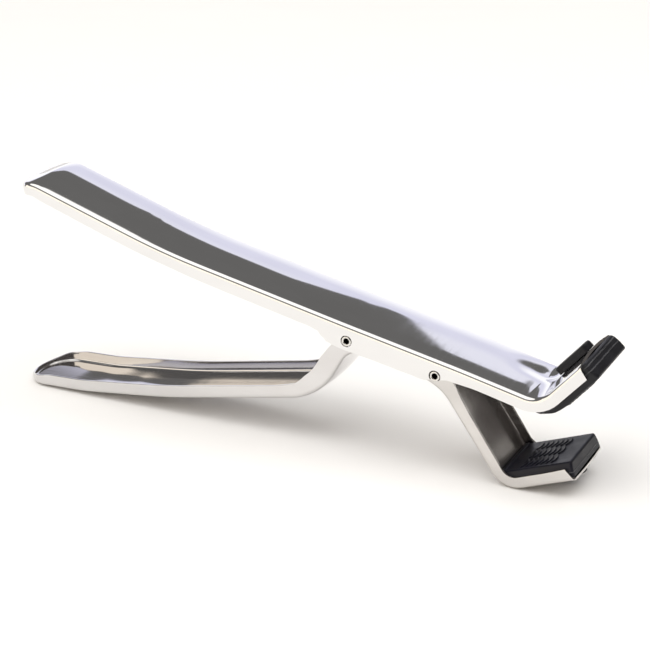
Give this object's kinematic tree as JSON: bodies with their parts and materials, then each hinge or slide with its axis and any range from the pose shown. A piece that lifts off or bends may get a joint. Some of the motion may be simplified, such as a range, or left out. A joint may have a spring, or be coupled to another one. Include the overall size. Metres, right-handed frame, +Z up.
{
  "type": "hot pan and plate gripper",
  "caption": "Spring-loaded steel gripper: squeezing the nested handles closes a rubber-padded lower jaw onto a fixed upper jaw to lift a hot pan or plate by its rim.",
  "frame": {"origin": "centre of the bounding box in X and Y, at the level of the surface the tool stands on", "axes": "+X from the handle tips towards the jaws, +Y across the sheet parallel to both rivets, +Z up as it stands on the lower handle and the heel of the lower jaw"},
  "size_m": [0.2008, 0.0272, 0.0725],
  "materials": {
    "polished_steel": "mirror-polished stainless steel sheet",
    "handle_steel": "polished stainless steel sheet",
    "jaw_steel": "satin stainless steel sheet",
    "pad_rubber": "moulded black rubber",
    "lower_pad_rubber": "moulded black rubber",
    "rivet_steel": "bright hollow rivet",
    "spring_steel": "drawn spring wire"
  },
  "bodies": {
    "frame": {"upper_lever": "polished_steel", "upper_jaw_pad": "pad_rubber", "handle_rivet": "rivet_steel", "jaw_rivet": "rivet_steel", "return_spring": "spring_steel"},
    "handle": {"lower_handle": "handle_steel"},
    "jaw": {"lower_jaw": "jaw_steel", "lower_jaw_pad": "lower_pad_rubber"}
  },
  "joints": [
    {"name": "handle_hinge", "type": "hinge", "parent": "frame", "child": "handle", "pos_m": [0.02205, 0, 0.03781], "axis": [0, 1, 0], "range_deg": [0, 29.5], "stiffness_Nm_per_rad": 0.3, "springref_deg": -45.84},
    {"name": "jaw_hinge", "type": "hinge", "parent": "frame", "child": "jaw", "pos_m": [0.05075, 0, 0.03191], "axis": [0, -1, 0], "range_deg": [0, 29.5], "deforming": ["return_spring"]}
  ],
  "couplings": [
    {"joint": "jaw_hinge", "follows": "handle_hinge", "ratio": 1}
  ]
}
